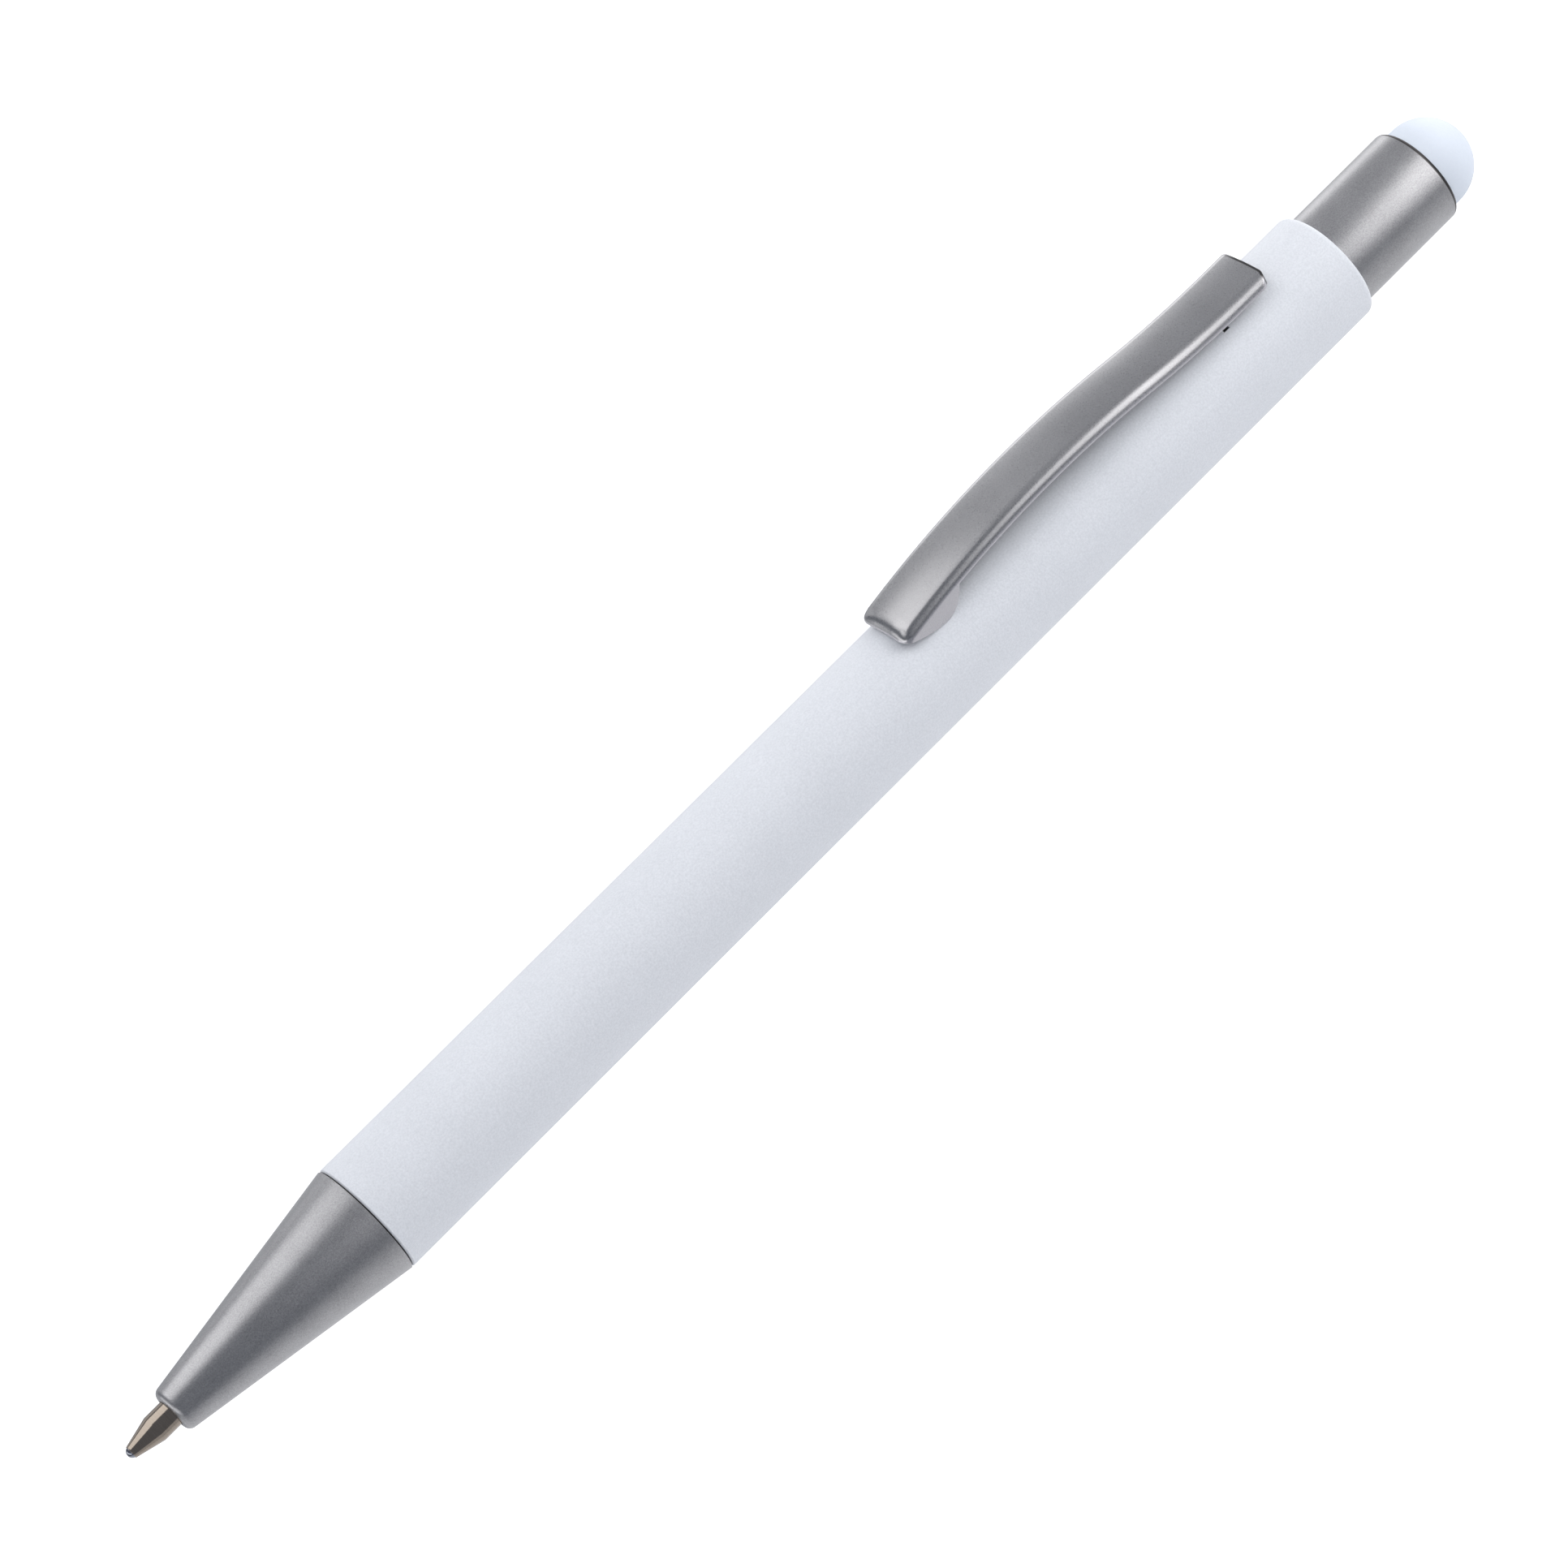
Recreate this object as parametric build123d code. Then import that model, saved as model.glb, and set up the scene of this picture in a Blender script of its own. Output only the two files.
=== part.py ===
"""Click ball pen with a rubber stylus dome on its push button.

Each piece is drawn about the X axis. A station is a distance along X, counted from the end of the
writing ball with the refill latched out to the top of the stylus dome. At the end every piece is
moved so that the pen lies on Z = 0, clip straight up, with its middle over the origin.
"""

import math
import os

from build123d import *

# Outside, from the writing end to the stylus end, in millimetres
tip_reach = 4.5  # writing point in front of the nose cone
nose_length = 20.5
nose_front_lip = 0.675  # round the point's hole
nose_front_rounding = 0.55
joint_bevel = 0.12  # on the barrel's front edge
joint_groove_length = 0.12  # dark line between nose cone and barrel
joint_groove_depth = 0.4
barrel_diameter = 10.0
barrel_length = 106.8
barrel_wall = 0.6
barrel_back_rounding = 0.5
button_reach = 10.6  # button in front of the dome, out of the barrel
button_wall = 0.45
button_rim_rounding = 0.38
dome_reach = 4.8  # dome above the button's rim
dome_wall = 1.0
dome_skirt = 3.4  # dome below the button's rim

# Clip
clip_setback = 6.25  # barrel's back end to the clip's root end
clip_length = 41.3
clip_width = 5.9
clip_sheet = 0.5
clip_crown = 0.15  # height of the web's middle over its edges
clip_edge_rounding = 0.85
clip_corner = 1.0
clip_plan_margin = 0.01  # plan's long sides outside the blank's, so that only its corners cut
clip_flange = 1.15  # web's top to the flange's lower edge
clip_tip_standoff = 1.02  # web's top over the barrel
clip_crest_standoff = 2.82
clip_root_standoff = 1.47
clip_crest_run = 17.4  # clip's tip to its highest point
clip_flat = 2.3  # straight length at the root end
clip_turn_over = 0.9  # rounding from the web to the end wall
lobe_length = 6.4  # clip's tip to the back of the side lobes
lobe_low_run = 4.0  # clip's tip to the lowest point of the lobes
lobe_front_slope = 0.45  # fall of the lobes' outline at the tip
lobe_back_slope = 1.8  # its rise at the back
clip_rest_gap = 0.03  # lobes to barrel

# Clip's foot through the barrel
slot_length = 2.1
slot_gap = 1.9  # slot's back end to the button pressed right down
slot_width = 3.9
slot_notch_length = 0.6  # at the slot's back end, just wider than the clip hides
slot_notch_width = 4.5
foot_side_clearance = 0.15
foot_end_clearance = 0.35
saddle_length = 7.0
saddle_gap = 0.4  # over the barrel
hook_length = 1.8  # under the wall in front of the neck
hook_width = 2.0
hook_thickness = 0.5
hook_gap = 0.5  # under the top of the barrel's bore
hook_pocket_clearance = 0.3

# Refill
ball_diameter = 1.0
ball_showing = 0.35
point_lip = 0.04
point_cone_length = 2.8  # ball's end to the back of the cone
point_diameter = 2.3
point_length = 9.5  # ball's end to the holder
point_stem_diameter = 1.7
point_stem_length = 3.5
ink_channel_diameter = 0.5
holder_step = 0.1  # holder's collar under the tube's surface
holder_collar_length = 3.0
holder_stem_length = 3.5
tube_diameter = 3.2
tube_wall = 0.3
grease_length = 2.5
air_length = 10.1  # between the grease and the end plug
end_plug_flange = 2.0
end_plug_stem = 4.0
end_plug_vent_diameter = 0.8
ear_width = 1.0
ear_length = 2.2

# Nose cone's inside and the spring in it
holder_gap = 0.6  # holder pressed right down to the nose cone's land
chamber_clearance = 0.2  # round the refill's front
spring_seat_depth = 9.2  # nose cone's front to the spring's seat
spigot_length = 8.0
bush_length = 9.0
bush_wall = 0.54
bush_setback = 0.3
spring_length = 16.0  # as fitted, with the refill out
spring_wire_diameter = 0.4
spring_wire_sides = 6
spring_inner_clearance = 0.3  # round the refill's tube
spring_outer_clearance = 0.15  # in the nose cone
spring_turns = 8

# Click mechanism
stroke = 5.8  # button out of its latched place when the refill is in
press_past_latch = 1.2
button_kept_in = 2.0  # button still in the barrel with the refill in
mechanism_room = 25.2  # refill's back end to the barrel's back end
sleeve_lead = 2.0  # sleeve in front of the rotor pressed right down
sleeve_gap = 0.8  # button pressed right down to the sleeve's back end
sleeve_wall = 1.59
guide_rib_height = 0.6
cam_ribs = 4
cam_rib_width = 1.2
cam_slope = 0.8  # rise of the ramps per millimetre round the sleeve
crown_teeth = 8
crown_depth = 1.2
crown_gap = 0.15
rotor_body_length = 4.0
rotor_rib_setback = 0.8
rotor_rib_length = 3.4
crown_ring = 0.9  # width of the crown round the rotor's pilot
pilot_length = 5.0
thruster_rib_setback = 1.0
thruster_rib_length = 5.0
thruster_flange_setback = 2.0
thruster_flange_length = 4.0
plug_flange = 2.0
plug_spigot_gap = 0.55  # spigot's end to the start of the dome's round

# Clearances on the radius
running_clearance = 0.05
mechanism_clearance = 0.1
seat_clearance = 0.01  # glued and pressed seats
ball_clearance = 0.02

# Most of a wall's thickness that a rounding may take
rounding_share = 0.9

# Radii and stations that follow from the sizes above
barrel_radius = barrel_diameter / 2
bore_radius = barrel_radius - barrel_wall
button_radius = bore_radius - running_clearance
button_bore_radius = button_radius - button_wall
dome_radius = button_bore_radius - running_clearance
tube_radius = tube_diameter / 2
tube_bore_radius = tube_radius - tube_wall
holder_radius = tube_radius - holder_step
point_radius = point_diameter / 2
point_hole_radius = point_radius + mechanism_clearance
nose_front_radius = point_hole_radius + nose_front_lip
point_chamber_radius = tube_radius + chamber_clearance
spring_wire_radius = spring_wire_diameter / 2
spring_coil_radius = tube_radius + spring_inner_clearance + spring_wire_radius
spring_outer_radius = spring_coil_radius + spring_wire_radius
spring_chamber_radius = spring_outer_radius + spring_outer_clearance
bush_bore_radius = bore_radius - seat_clearance - bush_wall
spigot_radius = bush_bore_radius - running_clearance
guide_bore_radius = bore_radius - seat_clearance - sleeve_wall
guide_rib_radius = guide_bore_radius - guide_rib_height
cam_body_radius = guide_rib_radius - mechanism_clearance
cam_rib_radius = guide_bore_radius - mechanism_clearance
pilot_radius = cam_body_radius - crown_ring
slot_rib_width = cam_rib_width + 2 * mechanism_clearance

nose_front = tip_reach
barrel_front = nose_front + nose_length
barrel_back = barrel_front + barrel_length
button_rim = barrel_back + button_reach
dome_top = button_rim + dome_reach
overall_length = dome_top
clip_root = barrel_back - clip_setback
clip_tip = clip_root - clip_length
spring_seat = nose_front + spring_seat_depth
spring_back = spring_seat + spring_length
nose_land_back = point_length - press_past_latch - holder_gap
refill_length = barrel_back - mechanism_room
holder_back = point_length + holder_collar_length
tube_back = refill_length - end_plug_flange
ink_front = holder_back + holder_stem_length
grease_back = tube_back - end_plug_stem - air_length
grease_front = grease_back - grease_length
button_front = barrel_back - stroke - button_kept_in
button_pressed_front = button_front - press_past_latch
slot_back = button_pressed_front - slot_gap
slot_front = slot_back - slot_length
sleeve_back = button_pressed_front - sleeve_gap
sleeve_front = refill_length - press_past_latch - sleeve_lead
crown_valley = refill_length + rotor_body_length
thruster_front = crown_valley + crown_depth + crown_gap
thruster_flange_front = button_front + thruster_flange_setback
dome_base = button_rim - dome_skirt
dome_centre = dome_top - dome_radius


def limited(rounding, wall):
    """Rounding, or as much of it as its wall leaves room for."""
    return min(rounding, rounding_share * wall)


def turned(points, roundings=()):
    """Solid of revolution about X from (station, radius) points; roundings are (point, radius)."""
    outline = make_face(Polyline(*points, close=True))
    for point, radius in roundings:
        corner = outline.vertices().sort_by_distance(Vector(*point))[0]
        outline = fillet(corner, radius)
    return revolve(Plane.XZ * outline, axis=Axis.X)


def tube(start, end, outer, inner=0.0):
    """Round tube or rod between two stations."""
    section = Circle(outer)
    if inner > 0:
        section -= Circle(inner)
    return extrude(Plane.YZ.offset(start) * section, amount=end - start)


def block(start, end, width, low, high):
    """Box between two stations and two heights over the axis."""
    size = Box(end - start, width, high - low)
    return Pos((start + end) / 2, 0, (low + high) / 2) * size


def radial_prism(points, inner, outer, angle):
    """Prism that stands out from the axis at an angle, from (station, distance round) points."""
    turn = math.radians(angle)
    outward = (0, math.cos(turn), math.sin(turn))
    base = Plane(origin=(0, 0, 0), x_dir=(1, 0, 0), z_dir=outward).offset(inner)
    return extrude(base * make_face(Polyline(*points, close=True)), amount=outer - inner)


def around(count, first, make):
    """Fused set of pieces made at equal angles."""
    pieces = [make(first + step * 360 / count) for step in range(count)]
    return Part() + pieces


def straight_ribs(start, end, inner, outer, width, angle):
    """Set of plain ribs along the axis, rounded to a cylinder outside."""
    half = width / 2
    outline = [(start, -half), (end, -half), (end, half), (start, half)]
    ribs = around(cam_ribs, angle, lambda turn: radial_prism(outline, inner, outer + half, turn))
    return ribs & tube(start, end, outer)


# Barrel, with the clip's slot punched through its top
def make_barrel_tube():
    body = turned(
        [
            (barrel_front, bore_radius),
            (barrel_front, barrel_radius - joint_bevel),
            (barrel_front + joint_bevel, barrel_radius),
            (barrel_back, barrel_radius),
            (barrel_back, bore_radius),
        ],
        [((barrel_back, barrel_radius), limited(barrel_back_rounding, barrel_wall))],
    )
    slot_floor = barrel_radius / 2
    slot = block(slot_front, slot_back, slot_width, slot_floor, barrel_diameter)
    notch_front = slot_back - slot_notch_length
    notch = block(notch_front, slot_back, slot_notch_width, slot_floor, barrel_diameter)
    return body - (slot + notch)


# Nose cone: point's land, point's chamber, spring's chamber and a spigot behind
def make_nose_cone():
    spigot_back = barrel_front + spigot_length
    groove_front = barrel_front - joint_groove_length
    front_edge = (nose_front, nose_front_radius)
    return turned(
        [
            (nose_front, point_hole_radius),
            front_edge,
            (groove_front, barrel_radius),
            (groove_front, barrel_radius - joint_groove_depth),
            (barrel_front, barrel_radius - joint_groove_depth),
            (barrel_front, spigot_radius),
            (spigot_back, spigot_radius),
            (spigot_back, spring_chamber_radius),
            (spring_seat, spring_chamber_radius),
            (spring_seat, point_chamber_radius),
            (nose_land_back, point_chamber_radius),
            (nose_land_back, point_hole_radius),
        ],
        [(front_edge, limited(nose_front_rounding, nose_front_lip))],
    )


def make_front_bush():
    start = barrel_front + bush_setback
    return tube(start, start + bush_length, bore_radius - seat_clearance, bush_bore_radius)


# Coil spring between the nose cone's seat and the tube's ears
def make_return_spring():
    height = spring_length - spring_wire_diameter - 2 * seat_clearance
    pitch = height / spring_turns
    coil = Helix(pitch=pitch, height=height, radius=spring_coil_radius, direction=(1, 0, 0))
    coil = Pos(spring_seat + spring_wire_radius + seat_clearance, 0, 0) * coil
    wire = RegularPolygon(spring_wire_radius, spring_wire_sides)
    section = Plane(origin=coil @ 0, z_dir=coil % 0) * wire
    print_least_gap(coil)
    return sweep(section, path=coil, is_frenet=True)


def print_least_gap(coil):
    """Print the least gap between neighbouring turns, measured on points along the coil."""
    steps_per_turn = 36
    count = spring_turns * steps_per_turn
    points = [coil @ (step / count) for step in range(count + 1)]
    least = min(
        (points[i] - points[j]).length
        for i in range(len(points))
        for j in range(i + steps_per_turn // 2, len(points))
    )
    print(f"return_spring: least gap to itself {least - spring_wire_diameter:.2f} mm")


# Clip: a crowned channel swept along its arch, trimmed to its side view and its plan
clip_crest = clip_tip + clip_crest_run
clip_crest_height = barrel_radius + clip_crest_standoff
clip_root_height = barrel_radius + clip_root_standoff


def arc_radius(run, rise):
    """Radius of the arc that starts level and leaves its tangent by rise over a run."""
    return (run**2 + rise**2) / (2 * rise)


clip_front_radius = arc_radius(clip_crest_run, clip_crest_standoff - clip_tip_standoff)


def clip_front_height(station):
    """Height of the web's line in front of its crest."""
    run = clip_crest - station
    return clip_crest_height - clip_front_radius + math.sqrt(clip_front_radius**2 - run**2)


def clip_arch(lead=0.0, drop=0.0):
    """Tangent arcs of the web's line from tip to root, lowered by drop, with leads past both ends."""
    tip = Vector(clip_tip - lead, clip_front_height(clip_tip - lead) - drop)
    crest = Vector(clip_crest, clip_crest_height - drop)
    flat = Vector(clip_root - clip_flat, clip_root_height - drop)
    root = Vector(clip_root + lead, clip_root_height - drop)
    middle = (crest + flat) / 2
    back_radius = arc_radius(middle.X - crest.X, crest.Y - middle.Y)
    return [
        RadiusArc(tip, crest, clip_front_radius),
        RadiusArc(crest, middle, back_radius),
        RadiusArc(middle, flat, -back_radius),
        Line(flat, root),
    ]


def swept_arch(width, drop, rounding):
    """Deep bar under the arch, drop below it, with a crowned top and rounded long edges."""
    path = Plane.XZ * Wire(clip_arch(lead=barrel_radius))
    section_plane = Plane(origin=path @ 0, x_dir=(0, 1, 0), z_dir=path % 0)
    half = width / 2
    depth = barrel_radius
    left = (-half, -drop - clip_crown)
    right = (half, -drop - clip_crown)
    outline = make_face(
        [
            ThreePointArc(left, (0, -drop), right),
            Polyline(right, (half, -depth), (-half, -depth), left),
        ]
    )
    corners = outline.vertices().sort_by(Axis.Y)[-2:]
    return sweep(section_plane * fillet(corners, rounding), path=path)


def clip_side_view():
    """Side view of the clip: all that lies over the lower edges of its flanges and lobes."""
    ceiling = barrel_radius + 2 * clip_crest_standoff
    lobe_end = clip_tip + lobe_length
    lower_edge = clip_arch(drop=clip_flange)
    over_flange = make_face(
        lower_edge
        + [
            Polyline(
                lower_edge[-1] @ 1,
                (clip_root, ceiling),
                (clip_tip, ceiling),
                lower_edge[0] @ 0,
            )
        ]
    )
    behind_lobes = Pos((lobe_end + clip_root) / 2, 0) * Rectangle(clip_root - lobe_end, 4 * ceiling)
    lobe_height = math.sqrt((barrel_radius + clip_rest_gap) ** 2 - (clip_width / 2) ** 2)
    lobe_foot = (clip_tip + lobe_low_run, lobe_height)
    lobe_back = (lobe_end, clip_front_height(lobe_end) - clip_flange)
    roll_end = (clip_tip + clip_turn_over, clip_front_height(clip_tip + clip_turn_over))
    end_foot = (clip_tip, roll_end[1] - clip_turn_over)
    lobe_ends = [(1, -lobe_front_slope), (1, lobe_back_slope)]
    over_lobes = make_face(
        [
            Spline(end_foot, lobe_foot, lobe_back, tangents=lobe_ends),
            Polyline(lobe_back, (lobe_end, ceiling), (roll_end[0], ceiling), roll_end),
            TangentArc(end_foot, roll_end, tangent=(0, 1)),
        ]
    )
    return (over_flange & behind_lobes) + over_lobes


def clip_plan():
    """Prism over the clip's plan, with rounded corners."""
    plan_width = clip_width + 2 * clip_plan_margin
    plan = Pos((clip_tip + clip_root) / 2, 0) * RectangleRounded(clip_length, plan_width, clip_corner)
    return extrude(plan, amount=2 * barrel_diameter)


def make_clip():
    blank = swept_arch(clip_width, 0.0, clip_edge_rounding)
    blank &= extrude(Plane.XZ * clip_side_view(), amount=clip_width, both=True)
    blank &= clip_plan()
    hollow_width = clip_width - 2 * clip_sheet
    hollow = swept_arch(hollow_width, clip_sheet, clip_edge_rounding - clip_sheet)
    past_root = clip_root + barrel_radius
    hollow &= block(clip_tip + clip_sheet, past_root, clip_width, 0.0, barrel_diameter)
    barrel_room = tube(clip_tip - lobe_length, past_root, barrel_radius + clip_rest_gap)
    return blank - hollow - barrel_room


# Foot of the clip: a saddle that fills the root's channel, a neck through the slot and a hook
hook_floor = bore_radius - hook_gap - hook_thickness
neck_front = slot_front + foot_end_clearance
neck_back = slot_back - foot_end_clearance
hook_front = neck_front - hook_length


def make_clip_saddle():
    middle = (slot_front + slot_back) / 2
    saddle_floor = barrel_radius + saddle_gap
    saddle_width = clip_width - 2 * (clip_sheet + seat_clearance)
    saddle = swept_arch(saddle_width, clip_sheet + seat_clearance, clip_edge_rounding - clip_sheet)
    saddle &= block(
        middle - saddle_length / 2,
        middle + saddle_length / 2,
        clip_width,
        saddle_floor,
        barrel_diameter,
    )
    neck_width = slot_width - 2 * foot_side_clearance
    neck = block(neck_front, neck_back, neck_width, hook_floor, saddle_floor)
    hook = block(hook_front, neck_front, hook_width, hook_floor, hook_floor + hook_thickness)
    return saddle + neck + hook


# Click mechanism: sleeve with guide ribs and stops, rotor and thruster
guide_front = (
    refill_length
    + rotor_rib_setback
    + rotor_rib_length
    + cam_slope * cam_rib_width
    + 2 * mechanism_clearance
)
cam_pitch = 360 / cam_ribs
rib_angle = cam_pitch / 2


def make_cam_sleeve():
    shell = tube(sleeve_front, sleeve_back, bore_radius - seat_clearance, guide_bore_radius)
    guides = tube(guide_front, sleeve_back, guide_bore_radius, guide_rib_radius)
    guides -= straight_ribs(
        guide_front, sleeve_back, 0.0, barrel_radius, slot_rib_width, rib_angle
    )
    land = math.pi * guide_bore_radius / cam_ribs - slot_rib_width / 2
    ramp = guide_front + cam_slope * land
    for side in (-land, 0.0):
        stop = [(guide_front, side), (guide_front, side + land), (ramp, side + land)]
        guides -= around(cam_ribs, 0.0, lambda turn: radial_prism(stop, 0.0, bore_radius, turn))
    pocket_front = hook_front - foot_end_clearance
    pocket_floor = hook_floor - hook_pocket_clearance
    pocket = block(pocket_front, sleeve_back, slot_width, pocket_floor, barrel_radius)
    return shell + guides - pocket


def crown_wedges(valley):
    """Wedges round the axis, each with its edge at the valley's station."""
    half = math.pi * cam_body_radius / crown_teeth
    wedge = [(valley, 0.0), (valley + crown_depth, half), (valley + crown_depth, -half)]
    return around(
        crown_teeth, 0.0, lambda turn: radial_prism(wedge, 0.0, cam_rib_radius, turn)
    )


def make_rotor():
    crown_top = crown_valley + crown_depth
    body = tube(refill_length, crown_top, cam_body_radius) - crown_wedges(crown_valley)
    pilot = tube(refill_length, crown_top + pilot_length, pilot_radius)
    rib_front = refill_length + rotor_rib_setback
    rib_back = rib_front + rotor_rib_length
    half = cam_rib_width / 2
    rib = [
        (rib_front, -half),
        (rib_front, half),
        (rib_back + cam_slope * cam_rib_width, half),
        (rib_back, -half),
    ]
    ribs = around(
        cam_ribs, rib_angle, lambda turn: radial_prism(rib, pilot_radius, barrel_radius, turn)
    )
    ribs &= tube(rib_front, thruster_front, cam_rib_radius)
    ribs -= tube(crown_valley, thruster_front, cam_body_radius + mechanism_clearance)
    return body + pilot + ribs


def make_thruster():
    pilot_bore_radius = pilot_radius + mechanism_clearance
    crown_base = crown_valley + crown_gap
    teeth = crown_wedges(crown_base) & tube(crown_base, thruster_front, cam_body_radius)
    flange_back = thruster_flange_front + thruster_flange_length
    body = tube(thruster_front, dome_base - plug_flange, cam_body_radius)
    flange = tube(thruster_flange_front, flange_back, button_bore_radius - seat_clearance)
    rib_front = thruster_front + thruster_rib_setback
    rib_back = rib_front + thruster_rib_length
    ribs = straight_ribs(rib_front, rib_back, 0.0, cam_rib_radius, cam_rib_width, rib_angle)
    pilot_end = crown_valley + crown_depth + pilot_length + mechanism_clearance
    pilot_room = tube(crown_valley, pilot_end, pilot_bore_radius)
    return body + teeth + flange + ribs - pilot_room


# Push button with its stylus dome
def make_button_shell():
    rim = (button_rim, button_radius)
    return turned(
        [
            (button_front, button_bore_radius),
            (button_front, button_radius),
            rim,
            (button_rim, button_bore_radius),
        ],
        [(rim, limited(button_rim_rounding, button_wall))],
    )


def make_stylus_dome():
    inner = dome_radius - dome_wall
    outline = make_face(
        [
            CenterArc((dome_centre, 0), dome_radius, 0, 90),
            Polyline(
                (dome_centre, dome_radius),
                (dome_base, dome_radius),
                (dome_base, inner),
                (dome_centre, inner),
            ),
            CenterArc((dome_centre, 0), inner, 0, 90),
            Line((dome_centre + inner, 0), (dome_top, 0)),
        ]
    )
    return revolve(Plane.XZ * outline, axis=Axis.X)


def make_stylus_plug():
    flange = tube(dome_base - plug_flange, dome_base, button_bore_radius - seat_clearance)
    plug_radius = dome_radius - dome_wall - seat_clearance
    return flange + tube(dome_base, dome_centre - plug_spigot_gap, plug_radius)


# Refill, from its ball to its end plug
def make_writing_ball():
    return Pos(ball_diameter / 2, 0, 0) * Sphere(ball_diameter / 2)


def make_writing_tip():
    ball_radius = ball_diameter / 2
    socket_radius = ball_radius + ball_clearance
    lip_offset = ball_radius - ball_showing
    lip_radius = math.sqrt(socket_radius**2 - lip_offset**2) + point_lip
    stem_radius = point_stem_diameter / 2
    stem_back = point_length + point_stem_length
    channel_radius = ink_channel_diameter / 2
    body = turned(
        [
            (ball_showing, channel_radius),
            (ball_showing, lip_radius),
            (point_cone_length, point_radius),
            (point_length, point_radius),
            (point_length, stem_radius),
            (stem_back, stem_radius),
            (stem_back, channel_radius),
        ]
    )
    return body - Pos(ball_radius, 0, 0) * Sphere(socket_radius)


def make_point_holder():
    collar = tube(point_length, holder_back, holder_radius)
    stem = tube(holder_back, ink_front, tube_bore_radius - seat_clearance)
    stem_room = tube(point_length, ink_front, point_stem_diameter / 2 + seat_clearance)
    return collar + stem - stem_room


def make_refill_tube():
    body = tube(holder_back, tube_back, tube_radius, tube_bore_radius)
    middle = (tube_radius + tube_bore_radius) / 2
    ear = Polyline(
        (spring_back, middle),
        (spring_back, spring_outer_radius),
        (spring_back + ear_length, middle),
        close=True,
    )
    one_ear = extrude(Plane.XZ * make_face(ear), amount=ear_width / 2, both=True)
    return body + one_ear + mirror(one_ear, about=Plane.XY)


def make_ink_column():
    return tube(ink_front, grease_front, tube_bore_radius - seat_clearance)


def make_grease_plug():
    return tube(grease_front, grease_back, tube_bore_radius - seat_clearance)


def make_refill_end_plug():
    flange = tube(tube_back, refill_length, tube_radius)
    stem = tube(tube_back - end_plug_stem, tube_back, tube_bore_radius - seat_clearance)
    vent = tube(tube_back - end_plug_stem, refill_length, end_plug_vent_diameter / 2)
    return flange + stem - vent


pieces = {
    "barrel_tube": make_barrel_tube,
    "nose_cone": make_nose_cone,
    "front_bush": make_front_bush,
    "cam_sleeve": make_cam_sleeve,
    "return_spring": make_return_spring,
    "clip": make_clip,
    "clip_saddle": make_clip_saddle,
    "button_shell": make_button_shell,
    "stylus_dome": make_stylus_dome,
    "stylus_plug": make_stylus_plug,
    "thruster": make_thruster,
    "rotor": make_rotor,
    "refill_tube": make_refill_tube,
    "point_holder": make_point_holder,
    "writing_tip": make_writing_tip,
    "writing_ball": make_writing_ball,
    "ink_column": make_ink_column,
    "grease_plug": make_grease_plug,
    "refill_end_plug": make_refill_end_plug,
}

os.makedirs("parts", exist_ok=True)
lying = Pos(-overall_length / 2, 0, barrel_radius)
for name, make in pieces.items():
    piece = lying * make()
    solids = piece.solids()
    print(f"{name}: {len(solids)} solid, {piece.volume:.2f} mm3")
    export_step(piece, f"parts/{name}.step")
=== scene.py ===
# %% [markdown]
# # A click pen with a rubber stylus dome
#
# The pen's solids come packed in real sizes, and they stay where they are. This lesson gives them
# their looks: the pieces that show, and the spring, are modelled again with smooth, even faces, and
# every piece gets a finish that is worked out by nodes.

# %% Load the frame
import math

import bmesh
import bpy
from mathutils import Matrix, Vector


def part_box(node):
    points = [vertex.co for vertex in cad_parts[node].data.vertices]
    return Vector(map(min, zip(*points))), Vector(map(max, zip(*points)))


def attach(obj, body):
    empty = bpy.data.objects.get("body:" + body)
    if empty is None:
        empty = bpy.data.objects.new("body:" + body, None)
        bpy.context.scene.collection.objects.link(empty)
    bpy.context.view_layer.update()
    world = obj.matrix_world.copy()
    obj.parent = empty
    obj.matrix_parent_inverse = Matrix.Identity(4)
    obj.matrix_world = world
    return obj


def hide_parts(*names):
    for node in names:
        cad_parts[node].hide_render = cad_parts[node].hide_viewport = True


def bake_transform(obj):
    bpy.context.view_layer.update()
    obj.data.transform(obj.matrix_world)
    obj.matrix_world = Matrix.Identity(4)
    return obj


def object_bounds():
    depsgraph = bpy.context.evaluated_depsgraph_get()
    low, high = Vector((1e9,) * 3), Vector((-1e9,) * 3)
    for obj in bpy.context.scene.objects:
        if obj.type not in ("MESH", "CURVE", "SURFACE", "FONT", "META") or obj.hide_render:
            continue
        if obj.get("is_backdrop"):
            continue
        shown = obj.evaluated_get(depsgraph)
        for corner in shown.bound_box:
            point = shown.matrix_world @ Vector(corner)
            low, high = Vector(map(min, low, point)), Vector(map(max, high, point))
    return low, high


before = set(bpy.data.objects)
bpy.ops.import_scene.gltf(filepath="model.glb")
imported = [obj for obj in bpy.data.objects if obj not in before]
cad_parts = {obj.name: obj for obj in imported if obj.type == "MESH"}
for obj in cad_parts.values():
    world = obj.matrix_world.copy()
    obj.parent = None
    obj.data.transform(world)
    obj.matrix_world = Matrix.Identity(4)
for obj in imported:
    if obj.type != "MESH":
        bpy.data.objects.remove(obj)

cad_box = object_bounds()

# %% [markdown]
# ## Measure before modelling
#
# The pen lies along X with its clip straight up. Its outer sizes can be read from the boxes of the
# solids, so a new piece lands where its solid is. Blender works in metres, so small sizes are written
# as a number of millimetres.

# %% Sizes from the frame
mm = 0.001
barrel_low, barrel_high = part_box("barrel_tube")
barrel_radius = barrel_high.y
axis = barrel_radius
bore_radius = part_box("front_bush")[1].y
print(f"barrel {1000 * barrel_radius * 2:.2f} mm across, {1000 * (barrel_high.x - barrel_low.x):.1f} mm long")

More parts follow.
